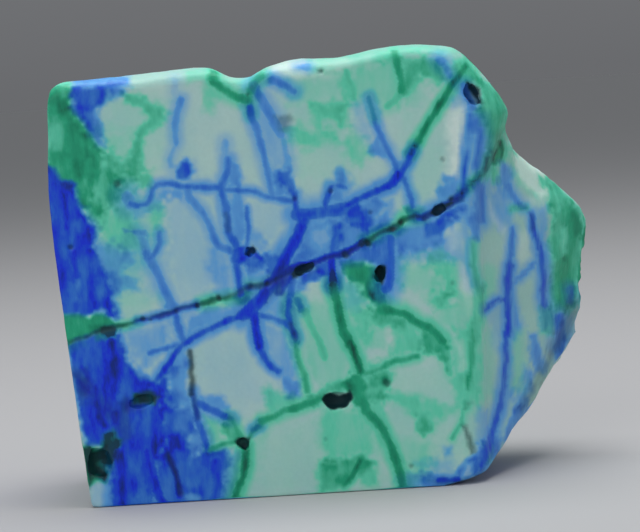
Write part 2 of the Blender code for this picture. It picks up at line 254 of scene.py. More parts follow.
# Veins of the ridge and the right side.
SIDE_VEINS = """
blue 7 50 463,86 3,8 4,8 2,7
blue 9 52 477,122 0,6 3,10 0,10 -3,18
blue 4 66 469,112 -1,18 -2,15 -2,30 0,15
blue 9 52 480,186 0,34
blue 7 20 464,222 4,22 -1,18 4,13 4,10
green 5 40 474,243 -1,10 0,11 3,12 2,14
blue 6 45 508,184 4,11 6,8 6,5
green 4 35 512,209 7,-1 7,0
blue 5 60 531,214 2,11 3,11 4,11
blue 6.5 66 540,247 2,11 2,25 -1,12 2,11
dark 3 30 531,215 3,13
blue 5 52 512,229 0,11 -1,12 -2,12
blue 6.5 72 510,266 -2,14 0,20
blue 6.5 73 508,299 1,11 0,11 -2,14
blue 5.5 64 507,335 -2,13 1,10 -2,22 -2,13
blue 6 68 502,393 -1,10 -2,9 -6,20
blue 7.5 68 493,432 -7,22 -5,11
blue 5 62 506,298 -8,2 -6,4 -6,6
blue 5 40 534,263 -6,7 -15,13 -5,8
blue 10 55 559,318 2,20 -1,8
blue 6 38 569,288 1,6 0,7
green 4.5 56 473,330 -1,15 0,15 -4,28
"""
STROKES = (CRACK, TRUNK, UPPER_VEINS, MIDDLE_VEINS, STREAKS, GREEN_VEINS, SIDE_VEINS)

# The green and the blue of the upper left.
UPPER_LEFT = """
green 5 58 57,84 9,-1 7,3 1,10 -2,10 3,12 9,10 15,22 1,14 -8,30 -6,14 -8,-4 -6,-14 -12,-4 -14,-14 0,-84
green 8 36 88,150 18,6 8,10 8,12 0,14 -8,12 -12,12 -10,0 -8,-12
green 10 14 96,128 32,6 12,32 10,6 0,20 -30,-2
green 6 34 80,198 12,-4 12,16 -4,16 -10,-4
green 5 32 50,98 18,4 6,14 -10,4 -8,-8
green 6 44 70,112 10,12 8,14 1,18 -5,22 -8,2 -6,-14 -6,-40
green 6 10 92,168 12,2 20,10 4,18 -12,8 -12,-10
pale 4 30 57,110 5,10 2,12 1,10 -3,8 -10,1 -4,-11 0,-28
pale 5 35 94,150 9,2 9,8 0,10 -12,-2
blue 4 64 103,86 3,8 -5,10 -15,8 -6,6 -5,-6 -2,-14 0,-12 13,1
blue 5 36 129,89 -7,8 -14,4 -9,9 1,-25 18,1
blue 5 56 76,106 12,0 6,8 7,12 1,12 3,9 -7,0 -8,-11 -4,-12 -8,-7
blue 3 35 130,76 -1,10 -56,2 -1,-9 28,-3
green 6 36 140,92 12,11 14,7 2,10 -8,7 -12,4 -4,9 -2,12 -1,14 -5,11 -10,3 -4,-12 8,-13 4,-15 4,-12 10,-10
 -10,-12 -14,-4 -2,-11
green 8 22 96,212 29,-4 16,20 1,19 -16,4 -18,-4 -9,-15
green 12 12 130,190 30,10 5,36 -15,26 -10,28 25,10 -35,16 -18,-16 -12,-50 -10,-45
blue 10 10 118,238 32,-6 10,18 12,50 -22,0 -10,-20 -16,-12
green 5 26 162,202 1,14 -2,14 -8,3 -3,-13 0,-14
blue 4 62 187,160 4,5 1,7 -2,6 -8,2 -5,-2 -1,-6 2,-6 4,-5
blue 6 14 165,160 31,0 0,26 -31,-2
blue 6 25 186,189 -4,9 -14,0 -10,8 -6,8 -18,6 -4,-12 18,-2 10,-20
green 8 10 80,112 18,18 18,30 20,24 -14,8 -22,-27 -16,-30
"""
# Broad faint washes over the pale rock.
WASHES = """
green 14 7 100,90 70,10 -5,65 -45,10
green 16 7 365,65 -5,45 -10,70 -50,0 -8,-50 -7,-55
green 16 6 450,90 -5,100 -30,15 -10,-35 -5,-60
green 16 7 250,430 80,-20 50,10 20,70 -150,6
green 16 8 372,366 78,-6 25,40 -5,60 -60,24 -25,-54
blue 14 9 163,195 22,-5 40,60 7,40 -52,14 -15,-42
blue 10 9 246,200 42,4 -8,40 -30,-4
blue 12 26 172,316 4,24 -30,32 -20,-20 -4,-22
blue 16 5 196,342 50,-20 16,44 28,34 -60,12 -30,-20
"""
# The blue of the left side and the crack's green end.
LEFT = """
blue 4 77 45,166 9,3 7,11 9,0 5,5 2,11 3,11 5,9 7,8 2,10 0,12 4,11 10,19 3,10 1,12 2,12 3,9 -8,-2 -7,-8
 -10,4 -8,2 -14,-1 -12,0 -4,-34 -8,-80
blue 7 30 86,208 11,14 2,20 13,1 11,7 11,2 -2,9 -8,9 13,13 -1,7 -14,0 -5,10 3,20 -8,-2 -6,-36 -14,-32
blue 3 42 122,229 24,0 1,7 -9,2 -8,-5
blue 4 40 164,297 10,1 6,7 -7,7 -7,-3
pale 4 25 70,282 8,1 1,17 -7,2 -4,-12
pale 4 20 73,221 7,-1 4,12 -8,4
green 3 70 62,315 13,-2 15,4 6,-4 7,-1 15,14 -1,6 -9,5 -11,-4 -9,5 -11,3 -6,7 -7,-8
"""
# The blue of the lower left.
LOWER_LEFT = """
blue 4 77 77,339 22,-7 5,5 6,3 11,-10 1,15 3,12 11,19 10,6 8,-2 7,4 2,16 0,20 2,20 -13,30 4,38 -43,2 -2,-30
 6,-18 -4,-16 -9,-3 -16,3 -7,-16 -10,-58 -3,-25
green 4 60 90,326 22,-1 2,12 -16,3
blue 5 35 124,345 7,17 9,10 12,4 8,-4 -6,13 -14,1 -12,-14
blue 5 60 160,404 15,6 15,-3 7,13 -3,12 -6,8 -2,10 8,5 12,-6 20,0 3,13 -1,18 -7,22 -15,1 -16,-11 -4,13 -28,1
 -2,-36 6,-20
blue 5 60 166,372 2,18 0,18 -10,2 0,-12 -9,-12 9,-8
blue 6 30 160,390 30,6 6,15 -34,1
pale 6 20 88,258 12,0 10,22 2,20 -14,-8
blue 4 60 180,432 7,7 -3,9 -9,2 -3,8 -6,-10 2,-12
blue 5 40 190,424 9,4 7,16 -6,8 -10,0
blue 6 34 188,346 0,18 -12,10 -10,12 -6,-12 8,-16 10,-12
blue 6 34 166,366 22,-4 0,38 -18,8
pale 5 35 137,487 9,-1 5,11 7,9 -24,3 0,-12
blue 6 12 88,482 22,2 2,24 -20,0
pale 5 12 118,409 11,0 1,21 -3,17 -6,-6 -3,-16
pale 4 15 93,345 9,0 5,19 -3,8 -8,-10
green 4 8 82,438 16,2 8,-5 -1,11 -9,3 -10,-2
green 4 85 113,431 8,8 -2,17 -8,12 -7,-6 3,-13 -4,-5 -1,-10
"""
# Touches down the left side.
LEFT_TOUCHES = """
green 4 42 47,94 7,-6 8,8 8,4 0,12 -10,4 -12,-4
blue 4 36 70,92 9,0 1,22 -8,0
blue 3 40 78,114 8,2 7,14 -5,2
blue 5 35 104,272 12,0 4,18 -10,2
blue 4 45 107,464 10,-2 1,36 -10,0
pale 5 14 80,418 18,0 0,22 -14,0
blue 4 34 126,82 -3,9 -11,5 -5,-4 1,-9
green 4 50 71,110 9,8 10,14 8,14 8,8 -8,0 -13,-15 -11,-15
green 7 28 98,148 14,2 8,10 7,12 -3,14 -14,-8 -8,-14
green 6 30 62,340 22,-6 2,10 -16,8
green 5 30 47,110 13,2 0,12 -12,0
green 6 30 134,172 16,0 2,14 -12,4
dark 5 30 70,368 16,0 5,28 -11,8
blue 5 40 92,299 18,0 6,14 -12,2 -12,-3
blue 5 50 150,440 16,0 0,26 -14,2
blue 5 50 180,446 17,1 1,9 -14,4
blue 5 30 184,488 22,0 2,15 -22,2
green 5 22 204,416 16,4 2,24 -14,2
green 4 80 106,448 2,10 -4,6 4,11 -4,7 -8,0 -8,4 -6,-16 0,-22 16,1
blue 4 60 110,411 9,-1 1,14 -8,2
blue 4 60 78,380 10,3 10,9 -6,4 -12,-8
green 3 85 133,394 17,-1 8,5 -2,6 -8,-2 -14,2
"""
# Washes and spots above the trunk, and a painted highlight along the ridge.
UPPER = """
green 6 25 204,84 8,0 10,8 14,8 12,4 0,8 -20,-10 -14,-1 -2,12 -7,0
blue 8 22 258,92 17,24 10,24 6,26 -19,10 -20,-60 0,-20
blue 5 42 270,172 9,0 13,24 -19,2
blue 4 58 276,175 14,-7 6,18 1,10 -7,0 -4,-8 -6,-3 -4,-4
blue 4 40 230,160 9,4 4,11 -2,12 -11,1 -3,-12
blue 6 32 228,188 17,0 1,27 0,31 -13,-3 -4,-28
blue 7 18 212,226 20,6 2,68 -16,0 -12,-38
blue 6 22 246,224 18,10 7,18 -21,-1
blue 4 34 333,171 9,-2 4,8 -2,11 -8,0 -4,-7
blue 6 26 340,168 10,7 3,19 -9,10 -12,-2 2,-16
green 7 34 311,105 19,-2 16,2 0,24 -8,-4 -10,-7 -6,11 -8,-3 -3,-12
green 8 28 285,130 15,-4 13,4 26,0 -2,12 -17,3 -15,4 -17,-7
green 9 24 350,130 15,8 4,16 -7,12 -12,-4 -5,-20
blue 7 14 353,102 14,-2 3,18 4,16 8,18 -11,-2 -15,-18
blue 4 34 377,136 8,11 6,12 -11,-1 -11,-6
blue 4 40 406,159 -3,13 -6,10 -5,-9 0,-14
green 8 22 452,66 -8,26 -20,-14 -14,14 -10,16 -16,4 -18,-12 -21,4 -5,-28 52,-20 48,2
green 8 12 395,80 30,-4 5,24 -26,12
green 10 10 285,75 60,0 0,25 -55,5
green 6 30 402,58 23,1 15,8 6,13 -10,2 -12,-8 -12,10 -8,12
green 4 50 454,60 12,-2 8,8 7,12 -1,8 -16,-4 -5,-4 -7,-8
pale 8 75 466,104 2,26 -4,22 -3,26 -14,2 3,-30 -2,-24 4,-18
blue 5 16 447,98 16,-10 3,18 -14,3
"""
# Washes and spots beside the crack, and a painted highlight on the ridge.
MIDDLE = """
blue 5 24 394,198 2,14 -12,18 -22,6 12,-22 -2,-18
blue 5 50 338,204 20,-2 4,14 -12,6 -12,-6
blue 4 58 298,274 14,-6 10,2 -4,9 -14,5
blue 5 50 344,213 10,-9 24,-7 7,8 -7,8 -1,13 -11,5 -16,-5
blue 5 42 354,208 13,1 6,10 -6,9 -10,-5
blue 6 42 386,214 2,12 -32,20 -14,6 -6,-12 4,-26 12,8 24,6
blue 5 46 342,222 -2,28 -15,6 -15,4 -14,6 -8,-4 12,-16 2,-18 28,-11
pale 6 40 328,226 3,16 -9,10 -10,-6 -1,-16
blue 3 68 232,250 7,-5 8,-1 10,7 5,7 -10,0 -8,2 -6,6 -5,-4
blue 4 52 256,252 14,2 11,-2 5,8 -8,16 -10,-2 -6,-12
blue 5 28 264,262 2,14 -8,8 -11,-2 -1,-20
blue 4 74 288,263 8,9 -4,11 -6,9 -8,5 -8,-7 -8,12 -8,5 4,-15 12,-14
blue 5 32 264,298 20,-2 6,20 -10,2 -14,-6
blue 3 66 312,266 16,-6 5,10 -5,7 -10,-3
blue 5 58 388,234 4,22 -6,14 -20,-8 -18,4 -10,6 -2,-12 14,-9
blue 7 22 384,240 16,0 3,46 -17,7
green 5 66 344,264 18,-4 12,6 3,11 -11,11 -13,-4 -8,-9
green 5 52 377,276 7,12 6,14 6,10 -12,4 -20,-24
green 8 28 340,280 12,4 14,14 8,32 -8,22 -14,-22 -10,-25
blue 8 12 336,276 20,6 8,22 -16,6
green 7 20 366,312 20,6 0,32 -18,-4
green 5 10 372,296 14,2 8,11 2,8 -20,2 -5,-11
green 4 34 350,279 16,7 8,14 -12,-2
green 5 42 368,308 16,-1 24,7 -4,14 -24,-2
green 5 30 360,464 16,-2 2,24 -16,0
green 5 30 366,394 14,0 4,20 -14,0
blue 4 30 327,186 13,-2 2,16 -12,2
dark 3 30 306,268 12,-5 1,7 -11,5
green 6 40 366,362 14,-2 12,14 -4,14 -16,-4
blue 5 42 292,278 12,-2 2,14 -10,4
blue 5 50 243,256 19,0 2,12 -16,3 -7,-7
blue 5 40 460,218 -14,14 -6,15 -16,3 -24,2 -8,-10 0,-13 16,-4 18,-3 21,-6
blue 4 36 452,222 -12,14 -14,0 -2,-14 22,-7
blue 6 55 466,210 -10,9 -16,2 0,-9 8,-5 12,-4
blue 7 34 463,176 3,12 -10,9 -16,4 -6,-4 11,-19
blue 6 20 462,224 4,38 -68,0 -2,-14 30,0 14,-10
pale 6 30 446,222 14,2 4,22 -14,6
green 4 60 404,208 10,-2 7,7 -2,9 -13,1
green 9 28 424,256 16,-5 16,11 3,23 -2,13 -11,-6 -16,-24
green 7 30 429,294 17,-4 0,18 -13,0
green 10 18 400,262 30,0 26,38 2,30 -18,-4 -16,-30 -22,-10
pale 4 50 460,264 8,4 6,22 0,16 -6,10 -7,-20
"""
# Washes and spots of the lower half, and a painted highlight down the ridge.
LOWER = """
green 4 45 250,290 1,10 -10,7 -9,-6 2,-10
blue 6 32 240,308 -4,10 -24,8 -26,10 0,-22 24,-6
blue 6 24 262,322 23,6 7,17 8,51 -14,4 -6,-20 -10,-25
blue 5 20 284,380 14,0 2,16 -12,2
blue 5 28 196,395 26,1 10,10 -4,8 -20,-7
green 6 32 265,387 37,11 0,13 -18,5 -20,4 2,-18
green 5 50 352,380 0,12 -22,2 -8,11 -14,2 -2,-11 16,-6 14,-6
green 8 18 300,300 34,0 16,50 2,34 -22,4 -18,-8 -10,-35
green 4 62 350,374 12,-1 5,17 0,18 -14,0 -1,-16 -7,-4
green 5 42 384,375 7,13 -9,12 -16,2 -2,-26
green 6 34 394,320 18,2 11,16 -5,14 -14,5 -13,-1 3,-16
green 5 56 420,326 17,5 10,10 2,11 -1,21 -14,-21 -14,4 2,-16
green 6 26 380,394 22,-2 38,10 14,2 0,10 -16,6 -4,14 -15,1 -3,-15 -12,-12
green 7 32 414,416 12,0 8,14 -12,4
green 8 24 318,406 32,0 16,6 10,28 -4,16 -20,4 -26,2 -6,-22
green 6 50 372,466 -12,8 -10,12 -12,4 -18,2 -3,-14 3,-16 18,-3 24,-3
green 5 35 326,460 12,0 -2,10 -8,-2
green 4 40 336,480 14,-7 2,11 -9,4
green 8 10 272,422 -24,73 -8,0 10,-70
green 5 50 222,424 9,-4 7,9 2,11 -12,0 -7,-6
blue 6 20 240,452 -2,22 -8,20 -8,6 4,-48
green 6 14 240,452 -2,22 -8,20 -8,6 4,-48
green 5 40 476,278 9,7 2,15 -2,22 -6,24 -9,0 -2,-21 8,-15
green 6 30 470,326 10,19 2,27 0,26 -8,14 -12,0 -7,-17 -5,-23 4,-42
green 6 16 455,290 19,4 0,28 -16,4
pale 4 50 455,340 11,0 1,32 -9,0
green 6 10 480,330 12,0 2,68 -14,2
blue 4 42 418,474 12,-3 15,6 16,1 0,7 -21,4 -17,0
blue 8 14 416,462 36,-6 4,18 -26,2
blue 4 25 443,447 9,-1 1,10 -9,0
blue 4 56 502,438 -2,12 -10,16 -10,10 -12,4 -10,-2 0,-8 8,-10 10,-8 7,-12 9,-4
pale 3 60 465,463 8,-1 1,14 -12,2
"""
# The right side, with a painted highlight on the upward facet below the notch.
RIGHT = """
blue 4 43 471,106 6,4 6,10 5,16 -2,14 -4,16 -6,14 -4,-4 3,-26 -3,-20
green 4 48 479,78 11,4 11,11 8,13 0,15 -4,12 -4,9 1,10 -14,1 0,-15 -5,-16 -7,-12 5,-6 1,-10
green 4 78 488,150 12,-2 5,7 -5,10 -10,-1
green 3 35 490,167 9,0 1,16 -8,0
blue 5 38 500,160 7,4 9,8 -4,12 -6,8 -8,-8
green 6 34 503,140 17,12 25,24 4,22 -13,-2 -16,-12 -12,-24
pale 4 80 510,152 22,8 9,6 8,11 0,20 -8,1 -17,-13 -8,-13
green 5 42 548,176 14,10 10,14 -6,8 -16,-3
blue 4 42 475,182 9,4 3,14 -4,20 -3,21 -9,-1 -3,-18 6,-17
blue 4 26 463,192 11,-6 0,36 -10,2
blue 8 12 488,190 20,8 2,24 -14,4 -8,-16
blue 5 20 496,184 12,2 2,12 -16,0
pale 3 55 486,198 4,2 3,10 7,10 8,9 -5,5 -14,-19
blue 6 14 486,190 24,0 4,36 -12,8 -13,-18
blue 5 22 534,208 12,-2 2,40 -8,-6
pale 4 20 508,230 0,32 -4,18 -3,4 3,-50
pale 5 28 514,232 16,-2 2,32 -16,2
green 6 54 568,198 12,16 4,18 -1,32 -5,18 -2,20 -7,10 -13,-2 -6,-20 2,-28 -3,-22 3,-18 -1,-19
green 6 15 553,248 17,6 2,26 -14,4
pale 4 50 560,228 7,0 0,26 -6,2
blue 5 14 496,302 8,4 0,40 -5,10 -7,-11 -1,-17 -5,-12 -6,-4 6,-6
blue 5 36 510,302 8,4 5,19 -4,7 -8,-4
blue 4 36 539,268 7,2 4,20 -2,19 -7,0 -3,-17
green 5 40 540,306 13,0 5,20 -6,10 -12,-2
blue 5 25 538,308 18,0 2,22 -18,2
blue 5 36 537,332 4,18 7,12 -4,12 -9,-4 -6,-20 1,-16
blue 5 34 523,366 12,6 -3,20 -8,12 -10,8 2,-14 6,-10
blue 4 30 504,388 12,0 -2,12 -9,2
blue 4 42 526,400 2,10 -12,20 -10,14 -4,-4 10,-28
blue 5 20 489,410 2,16 -7,16 -9,4 3,-38
green 4 40 485,444 6,0 0,18 -5,2
green 6 14 512,330 12,0 2,62 -14,0
green 5 15 488,262 10,8 -2,20 -8,8 -8,-8 2,-22
"""
# The rim of the front: green tints, and painted highlight where the rim faces up.
RIM = """
green 4 20 186,70 28,0 18,10 30,-6 -6,10 -24,3 -24,-6 -20,3
green 5 20 306,58 104,-14 52,2 -2,8 -56,1 -48,17 -46,2
pale 4 50 262,72 12,-8 12,-4 28,0 0,16 -16,3 -20,-2
pale 5 35 350,66 -8,10 -16,2 -12,-2 0,-16 31,-1
pale 5 25 372,53 2,11 -14,8 -12,0 -3,-12 11,-4
"""
# Touches at the bottom, on the ridge and on the right, with a painted highlight on the ridge.
# At the right edge the darker green and the deeper blue are partly painted shade.
RIGHT_TOUCHES = """
blue 5 30 396,476 34,-4 2,16 -32,2
green 8 15 396,440 36,0 0,40 -32,4
dark 4 32 494,132 11,-2 1,20 -10,0
green 4 35 569,202 13,6 2,28 -10,0
dark 4 16 569,202 13,6 2,28 -10,0
pale 4 35 554,200 10,-3 4,9 -10,6
green 4 30 538,174 12,4 1,12 -11,-4
pale 4 30 469,276 8,0 2,18 -8,0
pale 5 22 492,190 14,0 0,12 -12,0
pale 5 25 518,196 16,4 -2,8 -14,0
dark 4 16 468,100 12,0 0,10 -10,0
blue 4 55 552,344 12,0 2,12 -10,10
"""
# The pits, painted dark inside.
PITS = """
dark 1.6 100 321,400 4,-5 5,-2 8,3 7,-2 5,-4 4,6 -8,11 -8,1 -7,2
dark 1.6 100 379,265 6,2 1,6 -2,6 -3,6 -7,-13
dark 1.6 95 466,82 7,2 7,4 1,7 0,8 -4,0 -4,-8 -5,-6
dark 2 86 107,444 1,8 -2,6 -6,2 -3,4 6,5 5,6 -4,3 -7,-5 -7,4 -6,-15 -1,-13 7,-2 4,4 7,-2
dark 1.8 84 257,249 -1,4 -5,0 -2,3 -3,-2 2,-4 -2,-3 5,0 2,-2
dark 1.4 92 235,442 3,-4 6,-1 7,0 -3,9 -3,4 -4,-4
dark 1.6 95 314,262 0,5 -11,6 -6,4 -4,1 -2,-4 3,-5 6,-3 8,-3
dark 1.6 95 427,214 7,-7 9,-4 10,-2 2,3 -20,12
dark 3 80 135,397 5,-5 10,-1 8,5 0,5 -8,2 -9,-1
"""
# Dark tints by the pits and the crack; painted shade down the right edge and along the bottom edge.
SHADES = """
dark 5 50 119,404 7,-6 10,-1 10,5 -4,7 -8,3 -10,-1
dark 5 16 112,433 7,7 -2,16 -6,9 -4,-7 1,-10 -6,-12
dark 4 45 274,116 8,1 7,-2 4,6 -4,7 -5,4 -5,-6
dark 3 40 84,476 9,2 -2,12 -5,-2
dark 6 26 74,374 14,5 14,13 12,10 4,12 -10,10 -12,-16 -18,-16
dark 5 34 106,446 2,16 -4,18 -16,6 -8,-20 0,-20
dark 5 22 300,264 -2,12 -16,14 -16,12 -4,-12 22,-24
dark 4 25 428,480 20,-3 16,2 0,7 -28,3
dark 3 30 466,186 2,5 -10,8 -22,14 -2,-5 24,-16
dark 4 32 292,263 -4,14 -4,19 -7,0 -3,-11 -6,-8 16,-14
dark 6 30 114,408 16,0 1,30 -13,8
dark 6 46 582,296 -2,16 -10,26 -16,24 -18,32 -14,20 -4,-6 12,-22 17,-34 15,-32 5,-22
"""
PATCHES = (
    UPPER_LEFT, WASHES, LEFT, LOWER_LEFT, LEFT_TOUCHES, UPPER, MIDDLE, LOWER, RIGHT, RIM, RIGHT_TOUCHES,
    PITS, SHADES,
)

# Beads of the crack and specks: column, row, radius, darkness, and depth in millimetres.
BEADS = [
    (143, 319, 3, 0.85, 0.25), (150, 320, 2.2, 0.6, 0.1), (176, 311, 3.2, 0.75, 0.25),
    (197, 305, 3.6, 0.85, 0.3), (219, 298, 4, 0.9, 0.35), (251, 287, 3, 0.75, 0.25),
    (260, 288, 2.4, 0.6, 0.1), (267, 284, 3.6, 0.85, 0.3), (280, 288, 3, 0.45, 0.1),
    (345, 254, 4.6, 0.85, 0.35), (368, 243, 5, 0.9, 0.45), (355, 248, 3, 0.5, 0.1),
    (391, 229, 3, 0.75, 0.2), (401, 222, 4.2, 0.9, 0.35), (424, 218, 4, 0.65, 0.2),
    (452, 199, 3.6, 0.85, 0.3), (463, 192, 3.4, 0.6, 0.2), (117, 184, 4.2, 0.5, 0.15),
    (70, 247, 3.4, 0.6, 0.2), (320, 71, 3.2, 0.7, 0.2), (443, 160, 3.2, 0.35, 0.1),
    (386, 383, 5, 0.62, 0.25), (411, 467, 3.2, 0.35, 0.15), (326, 439, 2.6, 0.22, 0.08),
    (371, 213, 2.6, 0.4, 0.1), (331, 191, 3.2, 0.5, 0.2), (294, 199, 3, 0.5, 0.15), (564, 259, 3, 0.3, 0.1),
    (247, 94, 1.8, 0.4, 0.1), (452, 283, 2.6, 0.25, 0.1),
]


def srgb(red, green, blue):
    """A colour of 0 to 255 as the linear one that shaders take."""
    shares = [c / 255.0 for c in (red, green, blue)]
    return (*[c / 12.92 if c <= 0.04045 else ((c + 0.055) / 1.055) ** 2.4 for c in shares], 1.0)


def add_object(name, data):
    """A new object in the scene."""
    made = bpy.data.objects.new(name, data)
    bpy.context.scene.collection.objects.link(made)
    return made


# Noise


def hashed(x, y, z, seed):
    """A fixed scattered number from -1 to 1 for each lattice point."""
    n = ((x * 73856093) ^ (y * 19349663) ^ (z * 83492791) ^ (seed * 49979693)) & 0xFFFFFFFF
    n = ((n ^ (n >> 13)) * 1274126177) & 0xFFFFFFFF
    n = ((n ^ (n >> 16)) * 668265263) & 0xFFFFFFFF
    return (n ^ (n >> 15)) / 2147483648.0 - 1.0


def soft_noise(points, size, seed):
    """Smooth noise from -1 to 1 at points of three coordinates, with lumps that size."""
    spot = points / size
    base = np.floor(spot).astype(np.int64)
    t = spot - base
    t = t * t * t * (t * (t * 6.0 - 15.0) + 10.0)
    total = np.zeros(len(points))
    for corner in product((0, 1), repeat=3):
        weight = np.prod(np.where(corner, t, 1.0 - t), axis=1)
        total += weight * hashed(*(base + corner).T, seed)
    return total


def rough_noise(points, size, seed, octaves=3):
    """Noise of several sizes, each half the one before."""
    total, reach = np.zeros(len(points)), 0.0
    for k in range(octaves):
        total += soft_noise(points, size / 2**k, seed + 31 * k) / 2**k
        reach += 1.0 / 2**k
    return total / reach


def shift(points, size, seed):
    """Noise across and down the picture."""
    return np.stack([rough_noise(points, size, seed + k) for k in (0, 1)], axis=1)


def cells(points, size, seed):
    """For each point its distances to the two nearest hearts of cells, those hearts and itself, in cells."""
    spot = points / size
    base = np.floor(spot).astype(np.int64)
    near = np.full((2, len(points)), 9.0)
    hearts = np.zeros((2, len(points), 3))
    for step in product((-1, 0, 1), repeat=3):
        cell = base + step
        jitter = np.stack([hashed(*cell.T, seed + k) for k in range(3)], axis=1)
        heart = cell + 0.5 + 0.48 * jitter
        distance = np.linalg.norm(spot - heart, axis=1)
        first = distance < near[0]
        second = ~first & (distance < near[1])
        near[1] = np.where(first, near[0], np.where(second, distance, near[1]))
        hearts[1] = np.where(first[:, None], hearts[0], np.where(second[:, None], heart, hearts[1]))
        near[0] = np.where(first, distance, near[0])
        hearts[0] = np.where(first[:, None], heart, hearts[0])
    return near, hearts, spot


def chips(points, size, height, tilt, seed):
    """How far a skin of flat chips stands out, in millimetres."""
    near, hearts, spot = cells(points, size, seed)
    heights = []
    for heart in hearts:
        key = np.floor(heart * 64.0).astype(np.int64)
        lean = np.stack([hashed(*key.T, seed + 50 + k) for k in range(3)], axis=1)
        heights.append(height * hashed(*key.T, seed + 60) + tilt * size * (lean * (spot - heart)).sum(axis=1))
    share = 0.5 + 0.5 * np.clip((near[1] - near[0]) / BEVEL, 0.0, 1.0)
    return share * heights[0] + (1.0 - share) * heights[1]


def ramp(values, start, end):
    """0 up to start, 1 from end, and smooth between them."""
    t = np.clip((values - start) / (end - start), 0.0, 1.0)
    return t * t * (3.0 - 2.0 * t)


# The picture's frame


def camera_axes():
    """The camera's place in the drawing's frame, and its right, up and forward axes before its roll."""
    place = np.array([0.0, -DISTANCE * cos(ELEVATION), AIM_HEIGHT + DISTANCE * sin(ELEVATION)])
    right = np.array([1.0, 0.0, 0.0])
    up = np.array([0.0, sin(ELEVATION), cos(ELEVATION)])
    forward = np.array([0.0, cos(ELEVATION), -sin(ELEVATION)])
    return place, right, up, forward


def picture_pixels(points):
    """Where the camera sees points of the drawing's frame, as columns and rows."""
    place, right, up, forward = camera_axes()
    away = points - place
    depth = away @ forward
    a, b = DISTANCE * (away @ right) / depth, DISTANCE * (away @ up) / depth
    across = a * cos(ROLL) - b * sin(ROLL)
    above = a * sin(ROLL) + b * cos(ROLL)
    return np.stack([PICTURE[0] / 2 + across / PIXEL, PICTURE[1] / 2 - above / PIXEL], axis=1)


def add_camera():
    """The scene's camera, at the photograph's angle."""
    place, right, up, forward = camera_axes()
    data = bpy.data.cameras.new("camera")
    data.lens, data.sensor_width = LENS, SENSOR
    data.clip_start, data.clip_end = CLIP
    turned_right = right * cos(ROLL) - up * sin(ROLL)
    turned_up = right * sin(ROLL) + up * cos(ROLL)
    turn = Matrix([turned_right, turned_up, -forward]).transposed().to_4x4()
    camera = add_object("camera", data)
    camera.matrix_world = Matrix.Translation(Vector(place + ORIGIN) * MM) @ turn
    bpy.context.scene.camera = camera


# Strokes and patches


def traced(drawings):
    """The drawn marks, each as its ink, its width or edge, its strength and its points."""
    for line in "".join(drawings).replace("\n ", " ").split("\n"):
        if line:
            ink, width, strength, *steps = line.split()
            points = np.cumsum(np.array([step.split(",") for step in steps], float), axis=0)
            yield ink, float(width), float(strength) / 100.0, points


def line_distance(spots, points):
    """The distance from each spot to a line of points."""
    best = np.full(len(spots), 1e9)
    line = np.array(points, float)
    for start, end in zip(line, line[1:]):
        along = end - start
        t = np.clip(((spots - start) @ along) / (along @ along), 0.0, 1.0)
        best = np.minimum(best, np.linalg.norm(spots - start - t[:, None] * along, axis=1))
    return best


def inside_edges(spots, starts, ends):
    """Whether each spot lies inside the closed outlines that these edges make."""
    inside = np.zeros(len(spots), bool)
    for start, end in zip(starts, ends):
        if start[1] == end[1]:
            continue
        crosses = (start[1] > spots[:, 1]) != (end[1] > spots[:, 1])
        cut = start[0] + (end[0] - start[0]) * (spots[:, 1] - start[1]) / (end[1] - start[1])
        inside ^= crosses & (spots[:, 0] < cut)
    return inside


def close_to(spots, points, reach):
    """The indices of the spots within that reach of the points' box."""
    low, high = points.min(axis=0) - reach, points.max(axis=0) + reach
    return np.flatnonzero(((spots > low) & (spots < high)).all(axis=1))


def cover(amounts, ink, near, share):
    """Thin the blue and the green that a mark of another ink covers. A dark mark leaves both."""
    for other in ("blue", "green"):
        if ink not in ("dark", other):
            amounts[other][near] *= 1.0 - share


def paint(spots, fray, mottle):
    """How much of each ink every spot holds, from 0 to 1. fray and mottle are noises at the spots."""
    amounts = {ink: np.zeros(len(spots)) for ink in INKS}
    for ink, edge, strength, corners in traced(PATCHES):
        near = close_to(spots, corners, 2.5 * edge + MARGIN)
        outline = np.vstack([corners, corners[:1]])
        depth = line_distance(spots[near], outline)
        depth = np.where(inside_edges(spots[near], outline[:-1], outline[1:]), depth, -depth)
        share = strength * ramp(depth + FRAY * edge * fray[near], -edge, edge)
        if ink in ("blue", "green"):
            share *= 1.0 + MOTTLE * mottle[near]
        cover(amounts, ink, near, share)
        amounts[ink][near] = 1.0 - (1.0 - amounts[ink][near]) * (1.0 - share)
    for ink, width, strength, points in traced(STROKES):
        near = close_to(spots, points, (0.5 + HALO_WIDTH) * width + MARGIN)
        depth = 0.5 * width - line_distance(spots[near], points)
        depth = depth + WOBBLE[0] * fray[near] + WOBBLE[1] * mottle[near]
        share = strength * (1.0 + 0.5 * MOTTLE * mottle[near]) * ramp(depth, *FADE)
        share *= CORE[0] + CORE[1] * ramp(depth, 0.0, 0.5 * width)
        cover(amounts, ink, near, share)
        if ink != "dark":
            share = np.maximum(share, HALO * strength * ramp(depth, -HALO_WIDTH * width, 0.0))
        amounts[ink][near] = np.maximum(amounts[ink][near], share)
    for column, row, radius, darkness, _ in BEADS:
        away = np.hypot(spots[:, 0] - column, spots[:, 1] - row) - BEAD_FRAY * fray
        amounts["dark"] = np.maximum(amounts["dark"], darkness * (1.0 - ramp(away / radius, *BEAD_COLOUR)))
    return {ink: np.clip(amounts[ink], 0.0, 1.0) for ink in INKS}


# The surface


# A flat face: the axis that it faces down, the two along it and the spacing of its points.
FlatFace = namedtuple("FlatFace", "across along spacing")
FRONT = FlatFace(1, (0, 2), FINE)
FOOT = FlatFace(2, (1, 0), COARSE)


def flat_faces(bm, flat):
    """The mesh's faces that make up a flat face."""
    faces = [f for f in bm.faces if f.normal[flat.across] < -SQUARE]
    return [f for f in faces if all(abs(v.co[flat.across]) < FLAT for v in f.verts)]


